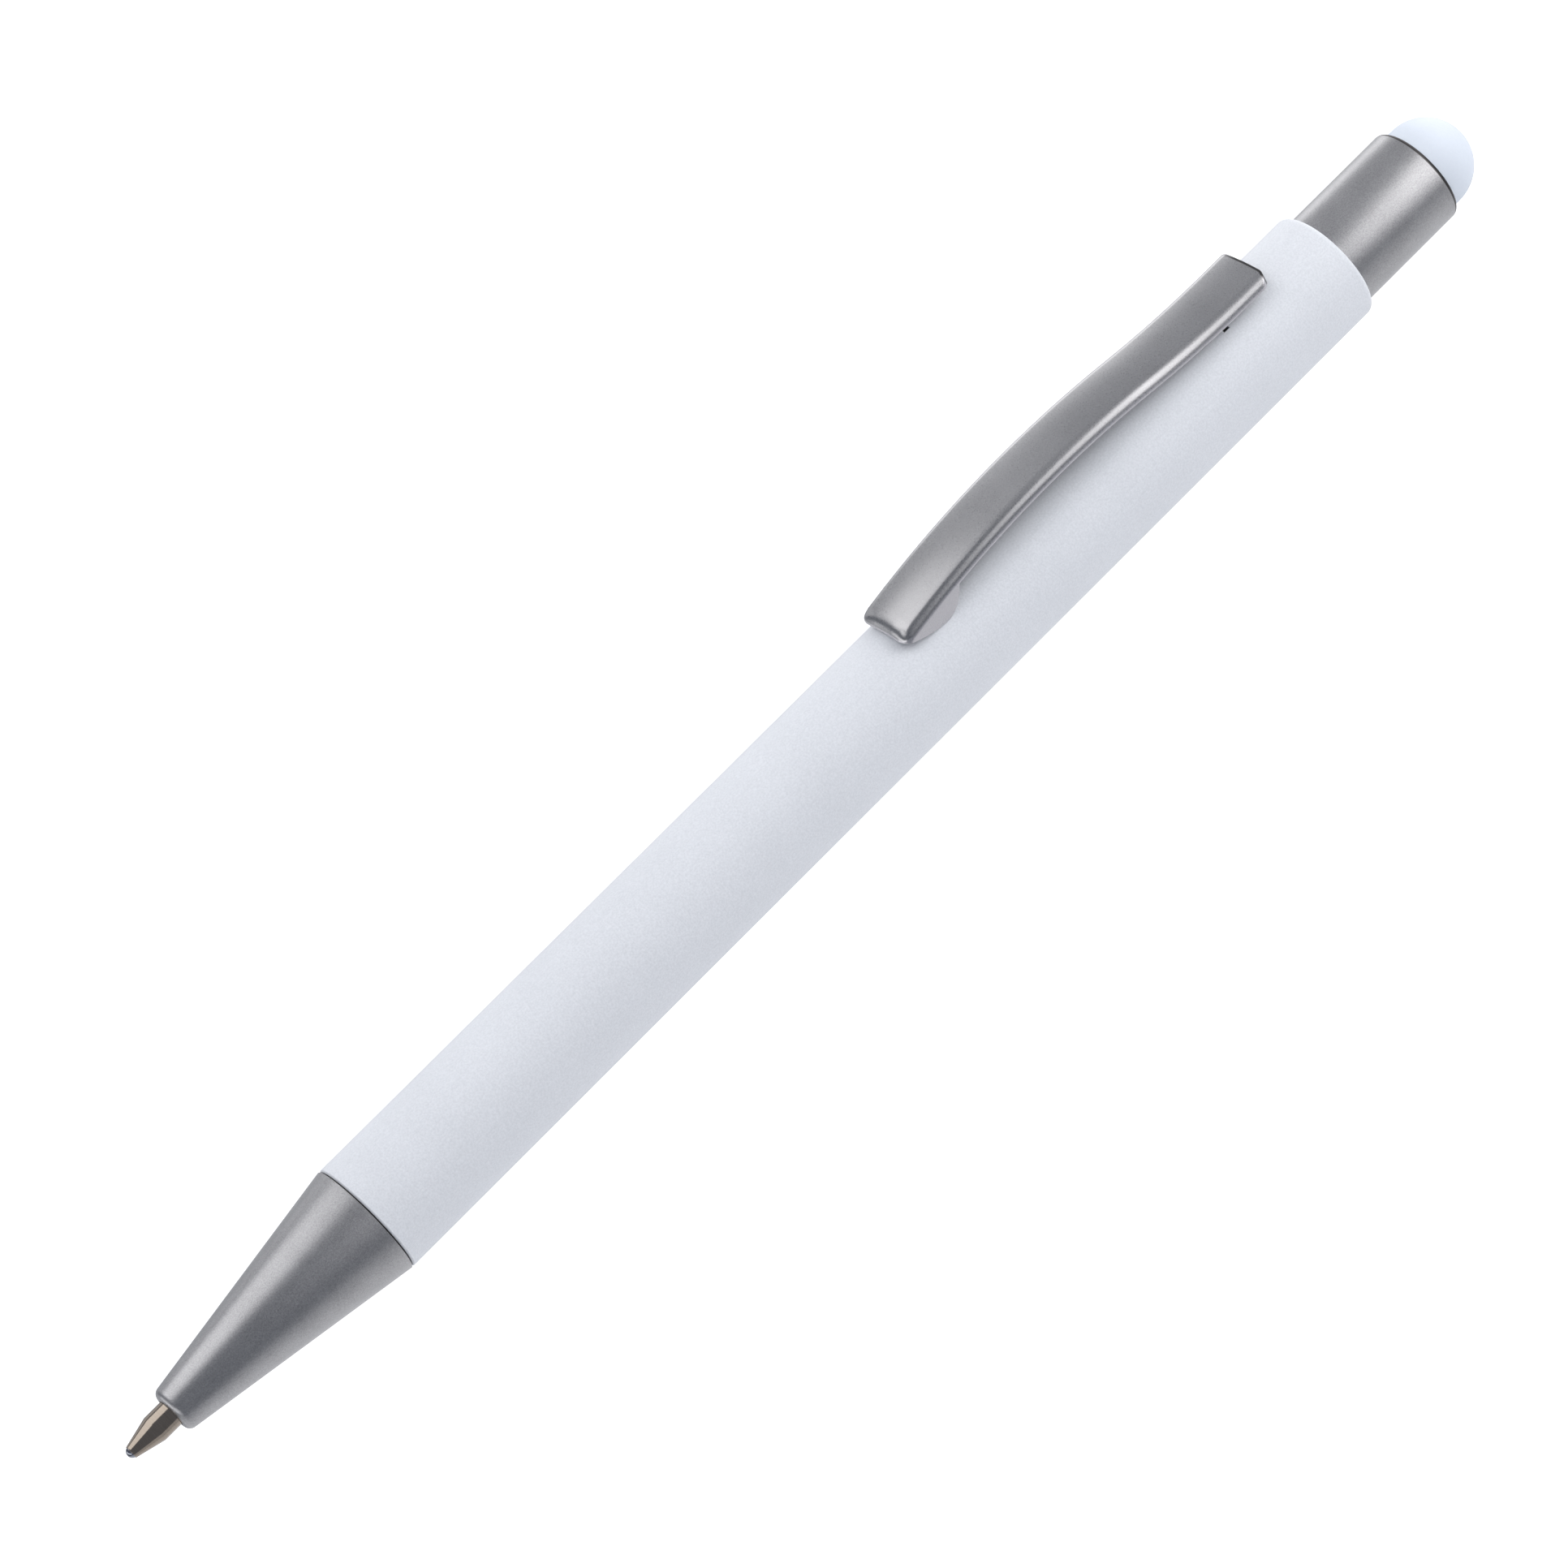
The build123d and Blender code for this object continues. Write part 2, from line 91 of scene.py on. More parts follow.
# %% [markdown]
# ## A lathe made of extrusions
#
# Nose cone, barrel, button, dome and point are all turned pieces. On a lathe the outline decides
# everything, and the same holds here: a ring is added at the first point of the outline, then
# extruded along the axis and scaled to the next radius, point after point. The Spin tool could do it
# too, but a ring has no seam to close. Crisp corners are bevelled afterwards, because a real edge is
# never perfectly sharp and its rounding is what catches the light.

# %% Lathe helpers
ring_sides = 128
weld = 1e-6
ring_reach = 10 * weld
smooth_angle = math.radians(32)


def select_alone(piece):
    """Make a piece the only selected one, and the active one."""
    bpy.ops.object.select_all(action="DESELECT")
    piece.select_set(True)
    bpy.context.view_layer.objects.active = piece


def take_new(name):
    """Name the object that an operator has just added, and put its place into its mesh."""
    piece = bpy.context.object
    piece.name = name
    piece.data.name = name
    bpy.ops.object.transform_apply(location=True, rotation=True, scale=True)
    return piece


def close_mesh():
    """Weld doubled corners, fill open ends and turn the faces outwards, then leave edit mode."""
    bpy.ops.mesh.select_all(action="SELECT")
    bpy.ops.mesh.remove_doubles(threshold=weld)
    bpy.ops.mesh.fill_holes(sides=0)
    bpy.ops.mesh.normals_make_consistent(inside=False)
    bpy.ops.object.mode_set(mode="OBJECT")


def turn(name, outline):
    """Turn a closed piece about the pen's axis from (x, radius) points."""
    bpy.ops.object.select_all(action="DESELECT")
    start, radius = outline[0]
    bpy.ops.mesh.primitive_circle_add(
        vertices=ring_sides,
        radius=radius,
        location=(start, 0, axis),
        rotation=(0, math.radians(90), 0),
    )
    piece = take_new(name)
    bpy.ops.object.mode_set(mode="EDIT")
    for (x, r), (next_x, next_r) in zip(outline, outline[1:]):
        bpy.ops.mesh.extrude_region_move(TRANSFORM_OT_translate={"value": (next_x - x, 0, 0)})
        grow = next_r / r
        bpy.ops.transform.resize(value=(1, grow, grow), center_override=(next_x, 0, axis))
    close_mesh()
    return piece


def select_edges(piece, wanted):
    """Go into edit mode with just the wanted edges of a piece selected."""
    select_alone(piece)
    bpy.ops.object.mode_set(mode="EDIT")
    bpy.ops.mesh.select_mode(type="EDGE")
    bpy.ops.mesh.select_all(action="DESELECT")
    mesh = bmesh.from_edit_mesh(piece.data)
    for edge in mesh.edges:
        edge.select_set(wanted(edge))
    mesh.select_flush(False)
    bmesh.update_edit_mesh(piece.data)


def round_ring(piece, x, radius, width, steps):
    """Bevel the edge ring of a turned piece at a place of its outline."""

    def on_ring(vertex):
        out = math.hypot(vertex.co.y, vertex.co.z - axis)
        return abs(vertex.co.x - x) < ring_reach and abs(out - radius) < ring_reach

    select_edges(piece, lambda edge: all(on_ring(vertex) for vertex in edge.verts))
    bpy.ops.mesh.bevel(offset=width, segments=steps, affect="EDGES")
    bpy.ops.object.mode_set(mode="OBJECT")


def finish_piece(piece, body, slot, *nodes):
    """Smooth a piece, put it on its body and let it stand for its solids."""
    select_alone(piece)
    bpy.ops.object.shade_smooth_by_angle(angle=smooth_angle)
    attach(piece, body)
    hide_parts(*nodes)
    print(f"{piece.name}: {len(piece.data.polygons)} faces")


print("the lathe makes rings of", ring_sides, "corners")

# %% [markdown]
# ## Nose cone
#
# A turned cone of plated metal with a hole for the point. Its front lip is rolled over, so it shows as a thin
# light ring. A fine groove, cut behind its back edge, draws the dark line at the barrel, and its finish adds
# painted shade there too: from the groove back, its colour is painted near black. The real groove also shades
# from every side.

# %% Turn the nose cone
nose_low, nose_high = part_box("nose_cone")
nose_front_radius = 1.925 * mm
nose_lip_rounding = 0.55 * mm
nose_hole_radius = 1.25 * mm
nose_land_end = nose_low.x + 3.2 * mm
point_chamber_radius = 1.8 * mm
spring_seat = nose_low.x + 9.2 * mm
spring_chamber_radius = 2.45 * mm
spigot_inset = 0.59 * mm
spigot_radius = bore_radius - spigot_inset
groove_length = 0.12 * mm
groove_depth = 0.4 * mm
groove_start = barrel_low.x - groove_length
groove_radius = barrel_radius - groove_depth
soft_steps = 8
crisp = 0.04 * mm
crisp_steps = 3

nose = turn(
    "nose",
    [
        (nose_low.x, nose_hole_radius),
        (nose_low.x, nose_front_radius),
        (groove_start, barrel_radius),
        (groove_start, groove_radius),
        (barrel_low.x, groove_radius),
        (barrel_low.x, spigot_radius),
        (nose_high.x, spigot_radius),
        (nose_high.x, spring_chamber_radius),
        (spring_seat, spring_chamber_radius),
        (spring_seat, point_chamber_radius),
        (nose_land_end, point_chamber_radius),
        (nose_land_end, nose_hole_radius),
        (nose_low.x, nose_hole_radius),
    ],
)
round_ring(nose, nose_low.x, nose_front_radius, nose_lip_rounding, soft_steps)
round_ring(nose, nose_low.x, nose_hole_radius, crisp, crisp_steps)
round_ring(nose, groove_start, barrel_radius, crisp, crisp_steps)
finish_piece(nose, "barrel", "grey_metal", "nose_cone")

# %% [markdown]
# ## Barrel
#
# A drawn tube under soft-touch lacquer, which rounds its back end and breaks its front edge. It is
# turned like the nose cone. Two extra rings, close to the slot that comes next, keep the faces that
# the slot disturbs short.

# %% Turn the barrel
joint_bevel = 0.12 * mm
barrel_end_rounding = 0.5 * mm
slot_back = barrel_high.x - 10.9 * mm
slot_length = 2.1 * mm
slot_margin = 1.2 * mm
slot_ends = [slot_back - slot_length - slot_margin, slot_back + slot_margin]

barrel = turn(
    "barrel",
    [
        (barrel_low.x, bore_radius),
        (barrel_low.x, barrel_radius - joint_bevel),
        (barrel_low.x + joint_bevel, barrel_radius),
        (slot_ends[0], barrel_radius),
        (slot_ends[1], barrel_radius),
        (barrel_high.x, barrel_radius),
        (barrel_high.x, bore_radius),
        (slot_ends[1], bore_radius),
        (slot_ends[0], bore_radius),
        (barrel_low.x, bore_radius),
    ],
)
round_ring(barrel, barrel_high.x, barrel_radius, barrel_end_rounding, soft_steps)
round_ring(barrel, barrel_low.x + joint_bevel, barrel_radius, crisp, crisp_steps)
print("barrel turned:", len(barrel.data.polygons), "faces")

# %% [markdown]
# ## Slot in the barrel
#
# The slot for the clip's foot is punched through the top of the tube. A Boolean does the same with two
# blocks: one for the slot, and one for the wider notch at its back end, which just shows beside the
# clip. Faces could be cut by hand too, but the blocks keep the slot's sizes in view.

# %% Punch the slot
slot_width = 3.9 * mm
notch_length = 0.6 * mm
notch_width = 4.5 * mm


def apply_modifier(piece, kind, **settings):
    """Add a modifier with its settings and apply it."""
    select_alone(piece)
    modifier = piece.modifiers.new(kind.lower(), kind)
    for name, value in settings.items():
        setattr(modifier, name, value)
    bpy.ops.object.modifier_apply(modifier=modifier.name)


def cut_away(piece, cutter, operation="DIFFERENCE"):
    """Take a cutter's shape out of a piece, or keep what is inside it, and throw the cutter away."""
    apply_modifier(piece, "BOOLEAN", operation=operation, solver="EXACT", object=cutter)
    bpy.data.objects.remove(cutter)


for length, width in ((slot_length, slot_width), (notch_length, notch_width)):
    bpy.ops.object.select_all(action="DESELECT")
    bpy.ops.mesh.primitive_cube_add(
        size=1,
        location=(slot_back - length / 2, 0, axis + barrel_radius),
        scale=(length, width, barrel_radius),
    )
    cut_away(barrel, take_new("slot_punch"))
finish_piece(barrel, "barrel", "lacquered_barrel", "barrel_tube")

# %% [markdown]
# ## Push button
#
# The button is a thin turned cup whose open rim is rolled over. Its other end stays hidden in the
# barrel, so a tube with one rounded rim is all that it needs.

# %% Turn the button
button_low, button_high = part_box("button_shell")
button_radius = button_high.y
button_bore_radius = button_radius - 0.45 * mm
button_rim_rounding = 0.38 * mm

button = turn(
    "button",
    [
        (button_low.x, button_bore_radius),
        (button_low.x, button_radius),
        (button_high.x, button_radius),
        (button_high.x, button_bore_radius),
        (button_low.x, button_bore_radius),
    ],
)
round_ring(button, button_high.x, button_radius, button_rim_rounding, soft_steps)
round_ring(button, button_low.x, button_radius, crisp, crisp_steps)
finish_piece(button, "button", "grey_metal", "button_shell")

# %% [markdown]
# ## Stylus dome
#
# The dome is a hollow silicone cap that is pushed into the button. A sphere cut in half would do for
# its outside. Here a quarter circle, worked out point by point, carries it from its top to its
# straight skirt, and a second one makes its hollow.

# %% Turn the dome
dome_low, dome_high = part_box("stylus_dome")
dome_radius = dome_high.y
dome_wall = 1.0 * mm
dome_centre = dome_high.x - dome_radius
dome_steps = 24
pole_radius = 0.05 * mm


def quarter_round(radius):
    """Points from the top of a dome down to its skirt."""
    first = math.asin(pole_radius / radius)
    turns = [first + (math.pi / 2 - first) * step / dome_steps for step in range(dome_steps + 1)]
    return [(dome_centre + radius * math.cos(a), radius * math.sin(a)) for a in turns]


inner_round = quarter_round(dome_radius - dome_wall)
dome = turn(
    "dome",
    quarter_round(dome_radius)
    + [(dome_low.x, dome_radius), (dome_low.x, dome_radius - dome_wall)]
    + inner_round[::-1],
)
finish_piece(dome, "button", "dome_rubber", "stylus_dome")

# %% [markdown]
# ## Writing point
#
# The point is turned from nickel silver and polished: a cone, a plain shank, and round the ball a thin
# rim that is rolled over to hold it. The stem behind it sits in the refill and never shows. The ball
# keeps its own solid, so the seat is worked out from the ball's size.

# %% Turn the writing point
tip_low, tip_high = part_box("writing_tip")
ball_low, ball_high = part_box("writing_ball")
ball_radius = ball_high.y
ball_centre = (ball_low.x + ball_high.x) / 2
point_radius = tip_high.y
point_cone_end = ball_low.x + 2.8 * mm
point_shank_end = ball_low.x + 9.5 * mm
point_shoulder_rounding = 0.06 * mm
point_stem_radius = 0.85 * mm
point_rim_radius = 0.54 * mm
point_rim_length = 0.12 * mm
point_rim_flare = 0.03 * mm
point_rim_rounding = 0.02 * mm
seat_radius = ball_radius + 0.02 * mm
channel_radius = 0.25 * mm
seat_mouth = math.sqrt(seat_radius**2 - (tip_low.x - ball_centre) ** 2)
seat_floor = ball_centre + math.sqrt(seat_radius**2 - channel_radius**2)

point = turn(
    "point",
    [
        (tip_low.x, seat_mouth),
        (tip_low.x, point_rim_radius),
        (tip_low.x + point_rim_length, point_rim_radius + point_rim_flare),
        (point_cone_end, point_radius),
        (point_shank_end, point_radius),
        (point_shank_end, point_stem_radius),
        (tip_high.x, point_stem_radius),
        (tip_high.x, channel_radius),
        (seat_floor, channel_radius),
        (ball_centre, seat_radius),
        (tip_low.x, seat_mouth),
    ],
)
round_ring(point, point_cone_end, point_radius, point_shoulder_rounding, crisp_steps)
round_ring(point, tip_low.x, point_rim_radius, point_rim_rounding, crisp_steps)
finish_piece(point, "refill", "nickel_point", "writing_tip")

# %% [markdown]
# ## Return spring
#
# The spring behind the nose cone is wound from round wire. The Screw modifier winds it as a coiling machine
# does: a small circle, the wire's section, travels round the axis and forwards. The spring is the one piece
# that changes its length.

# %% Wind the return spring
spring_low, spring_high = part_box("return_spring")
spring_wire_radius = 0.2 * mm
spring_wire_sides = 12
spring_coil_radius = spring_high.y - spring_wire_radius
spring_turns = 8
spring_turn_steps = 40
spring_start = spring_low.x + spring_wire_radius
spring_run = spring_high.x - spring_low.x - 2 * spring_wire_radius
spring_smooth_angle = math.radians(40)

bpy.ops.object.select_all(action="DESELECT")
bpy.ops.mesh.primitive_circle_add(
    vertices=spring_wire_sides, radius=spring_wire_radius, location=(spring_start, 0, axis)
)
spring = bpy.context.object
bpy.ops.object.mode_set(mode="EDIT")
bpy.ops.transform.rotate(value=math.radians(90), orient_axis="X", center_override=(spring_start, 0, axis))
bpy.ops.transform.translate(value=(0, 0, spring_coil_radius))
bpy.ops.object.mode_set(mode="OBJECT")
apply_modifier(
    spring,
    "SCREW",
    axis="X",
    screw_offset=spring_run / spring_turns,
    iterations=spring_turns,
    steps=spring_turn_steps,
    render_steps=spring_turn_steps,
)
take_new("spring")
bpy.ops.object.mode_set(mode="EDIT")
close_mesh()
bpy.ops.object.shade_smooth_by_angle(angle=spring_smooth_angle)
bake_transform(spring)
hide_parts("return_spring")
print("spring wound:", len(spring.data.polygons), "faces")

# %% [markdown]
# ## Blank of the clip
#
# The clip is pressed from sheet steel, and it is made here in the press's own order. A curve with a
# profile could be swept along the arch, but then the tip and the lobes would have to be joined on. The
# blank is a flat grid whose columns fall towards the sides, which gives its web a slight crown.

# %% Clip blank with its crown
clip_low, clip_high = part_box("clip")
clip_half_width = clip_high.y
clip_length = clip_high.x - clip_low.x
clip_rows = 80
clip_columns = 6
row_step = clip_length / clip_rows
clip_crown = 0.25 * mm

bpy.ops.object.select_all(action="DESELECT")
bpy.ops.mesh.primitive_grid_add(x_subdivisions=clip_rows, y_subdivisions=clip_columns, size=1)
bpy.ops.transform.resize(value=(clip_length, 2 * clip_half_width, 1))
bpy.ops.transform.translate(value=((clip_low.x + clip_high.x) / 2, 0, 0))
clip = take_new("pressed_clip")


def move_vertices(piece, wanted, lift):
    """Lift the wanted vertices of the piece that is in edit mode."""
    bpy.ops.mesh.select_mode(type="VERT")
    bpy.ops.mesh.select_all(action="DESELECT")
    mesh = bmesh.from_edit_mesh(piece.data)
    for vertex in mesh.verts:
        vertex.select_set(wanted(vertex))
    mesh.select_flush(False)
    bmesh.update_edit_mesh(piece.data)
    bpy.ops.transform.translate(value=(0, 0, lift))


def column_side(column):
    """Distance of a column of the blank from the clip's middle line."""
    return clip_half_width * 2 * column / clip_columns


bpy.ops.object.mode_set(mode="EDIT")
for column in range(clip_columns // 2 + 1):
    side = column_side(column)
    crown_fall = clip_crown * (side / clip_half_width) ** 2
    move_vertices(clip, lambda v: abs(abs(v.co.y) - side) < weld, -crown_fall)
bpy.ops.object.mode_set(mode="OBJECT")
print("blank crowned:", len(clip.data.vertices), "vertices")

# %% [markdown]
# ## Folded sides and tip
#
# The long sides and the tip are folded down, and only the root stays open. Extruding the border makes
# the folds, and near the tip they are pulled down further, as the stock for the two side lobes.

# %% Fold the sides and the tip
clip_fold_depth = 0.9 * mm
lobe_length = 6.4 * mm
lobe_extra = 2.0 * mm
lobe_back = clip_low.x + lobe_length + row_step

select_edges(
    clip, lambda edge: edge.is_boundary and any(v.co.x < clip_high.x - weld for v in edge.verts)
)
bpy.ops.mesh.extrude_region_move(TRANSFORM_OT_translate={"value": (0, 0, -clip_fold_depth)})
move_vertices(
    clip, lambda v: v.co.x < lobe_back and v.co.z < -clip_crown - clip_fold_depth / 2, -lobe_extra
)
bpy.ops.object.mode_set(mode="OBJECT")
print("blank folded:", len(clip.data.vertices), "vertices")

# %% [markdown]
# ## Arch of the clip
#
# The side view of the clip is an arch: one arc from the tip up to the crest, two arcs down, and a level
# root. A Curve modifier could bend the blank, but it would also tilt the rows. So every row is lifted
# to the height of the arch at its place.

# %% Arch the clip
clip_crest = clip_low.x + 17.4 * mm
clip_flat = 2.3 * mm
barrel_top = axis + barrel_radius
clip_tip_height = barrel_top + 1.02 * mm
clip_root_height = barrel_top + 1.47 * mm
clip_crest_height = clip_high.z


def level_arc(run, rise):
    """Radius of an arc that starts level and has left its tangent by rise after a run."""
    return (run**2 + rise**2) / (2 * rise)


def fallen(run, radius):
    """How far such an arc has left its tangent after a run."""
    return radius - math.sqrt(radius**2 - run**2)


front_radius = level_arc(clip_crest - clip_low.x, clip_crest_height - clip_tip_height)
half_run = (clip_high.x - clip_flat - clip_crest) / 2
back_radius = level_arc(half_run, (clip_crest_height - clip_root_height) / 2)


def arch_height(x):
    """Height of the clip's web: one arc up to the crest, two arcs down, then level."""
    if x < clip_crest:
        return clip_crest_height - fallen(clip_crest - x, front_radius)
    if x < clip_crest + half_run:
        return clip_crest_height - fallen(x - clip_crest, back_radius)
    left = clip_crest + 2 * half_run - x
    return clip_root_height + fallen(max(left, 0.0), back_radius)


def lift_rows(piece, height):
    """Lift every row of a piece, from a flat level 0, to its height at that place of X."""
    select_alone(piece)
    bpy.ops.object.mode_set(mode="EDIT")
    rows = sorted({round(v.co.x / weld) for v in bmesh.from_edit_mesh(piece.data).verts})
    for row in rows:
        move_vertices(piece, lambda v: round(v.co.x / weld) == row, height(row * weld))
    bpy.ops.object.mode_set(mode="OBJECT")
    print(f"{piece.name}: {len(rows)} rows lifted")


lift_rows(clip, arch_height)

# %% [markdown]
# ## Pressed tip
#
# The press also dents the tip's upper edge, deepest in its middle, so its highlight bends. The few
# vertices of that edge are lowered one column after the other, which leaves the corners where they are.

# %% Press the tip down in its middle
clip_tip_dip = 0.4 * mm
tip_fold_height = arch_height(clip_low.x) - clip_crown - weld

bpy.ops.object.mode_set(mode="EDIT")
for column in range(clip_columns // 2):
    side = column_side(column)
    dip = clip_tip_dip * (1 - (side / clip_half_width) ** 2) ** 2
    move_vertices(
        clip,
        lambda v: abs(v.co.x - clip_low.x) < weld
        and abs(abs(v.co.y) - side) < weld
        and v.co.z > tip_fold_height,
        -dip,
    )
bpy.ops.object.mode_set(mode="OBJECT")
print(f"tip pressed down by {1000 * clip_tip_dip:.2f} mm")

# %% [markdown]
# ## Rounded folds and sheet
#
# The bend of real sheet metal has a radius, so the folded edges are bevelled before the Solidify
# modifier gives the sheet its thickness. The other way round, inside and outside would each need a
# bevel of their own. The row next to the tip is dissolved first, because the tip's bevel needs its
# room.

# %% Round the folds and thicken the sheet
fold_rounding = 0.85 * mm
fold_steps = 8
clip_sheet = 0.5 * mm

select_edges(clip, lambda edge: all(abs(v.co.x - clip_low.x - row_step) < weld for v in edge.verts))
bpy.ops.mesh.dissolve_edges(use_verts=True)
bpy.ops.object.mode_set(mode="OBJECT")


def on_fold(vertex):
    """True where the crowned web meets a folded side or the folded tip."""
    at_side = abs(abs(vertex.co.y) - clip_half_width) < weld
    at_tip = abs(vertex.co.x - clip_low.x) < weld
    return (at_side or at_tip) and vertex.co.z > arch_height(vertex.co.x) - clip_crown - clip_tip_dip


def at_tip_corner(vertex):
    """True on the two upright edges between the folded tip and the folded sides."""
    return abs(vertex.co.x - clip_low.x) < weld and abs(abs(vertex.co.y) - clip_half_width) < weld


select_edges(
    clip,
    lambda edge: all(on_fold(v) for v in edge.verts) or all(at_tip_corner(v) for v in edge.verts),
)
bpy.ops.mesh.bevel(offset=fold_rounding, segments=fold_steps, affect="EDGES")
bpy.ops.mesh.select_all(action="SELECT")
bpy.ops.mesh.remove_doubles(threshold=weld)
bpy.ops.mesh.normals_make_consistent(inside=False)
bpy.ops.object.mode_set(mode="OBJECT")
apply_modifier(clip, "SOLIDIFY", thickness=clip_sheet, offset=-1.0, use_even_offset=True)
print("sheet thick:", len(clip.data.polygons), "faces")

# %% [markdown]
# ## Side lobes
#
# What is still too long is cut off, as a trimming die does. The lobes hold the pen to a pocket: each
# swings down from the tip to the barrel and steeply up again. The die is a strip whose rows are lifted
# to that outline, as the clip's were to its arch, and which is then extruded downwards.

# %% Trim the lobes
clip_edge_depth = clip_crown + clip_fold_depth
clip_rest_gap = 0.03 * mm
tip_foot_height = barrel_top + 0.30 * mm
lobe_low = 4.0 * mm
lobe_front_slope = -0.45
lobe_back_slope = 1.8
lobe_foot_height = axis + math.sqrt((barrel_radius + clip_rest_gap) ** 2 - clip_half_width**2)
trim_margin = 1.0 * mm
trim_start = clip_low.x - trim_margin
trim_length = lobe_length + 2 * trim_margin
trim_middle = trim_start + trim_length / 2
trim_rows = 84
trim_depth = 4.0 * mm


def eased(part, length, start, start_slope, end, end_slope):
    """Height at a part (0 to 1) of a smooth curve with given heights and slopes at its two ends."""
    rest = 1 - part
    bow = start_slope * length * part * rest**2 - end_slope * length * part**2 * rest
    return start * rest**2 * (1 + 2 * part) + end * part**2 * (1 + 2 * rest) + bow


def lobe_outline(x):
    """Lower edge of the folded sides: the tip's foot, the lobe, then the plain edge."""
    run = x - clip_low.x
    back_height = arch_height(clip_low.x + lobe_length) - clip_edge_depth
    if run < 0:
        return tip_foot_height
    if run < lobe_low:
        return eased(run / lobe_low, lobe_low, tip_foot_height, lobe_front_slope, lobe_foot_height, 0)
    if run < lobe_length:
        back = lobe_length - lobe_low
        return eased((run - lobe_low) / back, back, lobe_foot_height, 0, back_height, lobe_back_slope)
    return arch_height(x) - clip_edge_depth


bpy.ops.object.select_all(action="DESELECT")
bpy.ops.mesh.primitive_grid_add(x_subdivisions=trim_rows, y_subdivisions=1, size=1)
bpy.ops.transform.resize(value=(trim_length, 3 * clip_half_width, 1))
bpy.ops.transform.translate(value=(trim_middle, 0, 0))
lobe_trim = take_new("lobe_trim")
lift_rows(lobe_trim, lobe_outline)
bpy.ops.object.mode_set(mode="EDIT")
bpy.ops.mesh.select_all(action="SELECT")
bpy.ops.mesh.extrude_region_move(TRANSFORM_OT_translate={"value": (0, 0, -trim_depth)})
close_mesh()
cut_away(clip, lobe_trim)

# %% [markdown]
# ## Feet and root
#
# The lobes' feet are cut hollow so that they rest on the barrel: a cylinder, a little larger than the
# barrel, takes away what is inside it. At the root the sheet ends in two round corners. A block with
# rounded edges, the clip's plan, keeps only what lies within it.

# %% Trim the feet and the root corners
clip_root_corner = 1.0 * mm
clip_root_steps = 10
plan_play = 20 * weld

bpy.ops.object.select_all(action="DESELECT")
bpy.ops.mesh.primitive_cylinder_add(
    vertices=2 * ring_sides,
    radius=barrel_radius + clip_rest_gap,
    depth=trim_length,
    location=(trim_middle, 0, axis),
    rotation=(0, math.radians(90), 0),
)
cut_away(clip, take_new("barrel_room"))

bpy.ops.object.select_all(action="DESELECT")
bpy.ops.mesh.primitive_cube_add(
    size=1,
    location=((trim_start + clip_high.x) / 2, 0, barrel_top),
    scale=(clip_high.x - trim_start, 2 * clip_half_width + plan_play, 4 * trim_depth),
)
clip_plan = take_new("clip_plan")
select_edges(
    clip_plan,
    lambda edge: all(v.co.x > clip_crest for v in edge.verts)
    and edge.verts[0].co.y * edge.verts[1].co.y > 0,
)
bpy.ops.mesh.bevel(offset=clip_root_corner, segments=clip_root_steps, affect="EDGES")
bpy.ops.object.mode_set(mode="OBJECT")
cut_away(clip, clip_plan, "INTERSECT")
print("clip trimmed:", len(clip.data.polygons), "faces")

# %% [markdown]
# ## Rim of the root
#
# Tumbling takes the sharpness off a pressed piece, and at the root its rim catches the light. The edges
# to bevel are found by their faces: one is upright, from the cut, and the other looks up.

# %% Soften the rim of the root
rim_rounding = 0.22 * mm
rim_steps = 5
upright_limit = 0.02
upward_limit = 0.25


def on_root_rim(edge):
    """True between the upright cut face at the root and the sheet's upper side."""
    if len(edge.link_faces) != 2 or min(v.co.x for v in edge.verts) < clip_high.x - clip_root_corner:
        return False
    low, high = sorted(face.normal.z for face in edge.link_faces)
    return abs(low) < upright_limit and high > upward_limit


select_edges(clip, on_root_rim)
bpy.ops.mesh.bevel(offset=rim_rounding, segments=rim_steps, affect="EDGES", clamp_overlap=True)
bpy.ops.object.mode_set(mode="OBJECT")
finish_piece(clip, "clip", "clip_steel", "clip")

# %% [markdown]
# ## Nodes as arithmetic
#
# A finish is a small graph of nodes. Two classes make it readable: one wraps a socket, so that sums
# and products of sockets add Math nodes by themselves, and one adds any other node with its settings
# and its inputs. Nodes could be placed by hand in the editor, but a formula is easier to follow.

# %% Sockets that add up


class Socket:
    """An output of a node. Arithmetic on it adds Math nodes to its graph."""

    def __init__(self, graph, output):
        self.graph = graph
        self.output = output

    def __add__(self, other):
        return self.graph.math("ADD", self, other)

    def __radd__(self, other):
        return self.graph.math("ADD", other, self)

    def __sub__(self, other):
        return self.graph.math("SUBTRACT", self, other)

    def __rsub__(self, other):
        return self.graph.math("SUBTRACT", other, self)

    def __mul__(self, other):
        return self.graph.math("MULTIPLY", self, other)

    def __rmul__(self, other):
        return self.graph.math("MULTIPLY", other, self)

    def __pow__(self, other):
        return self.graph.math("POWER", self, other)


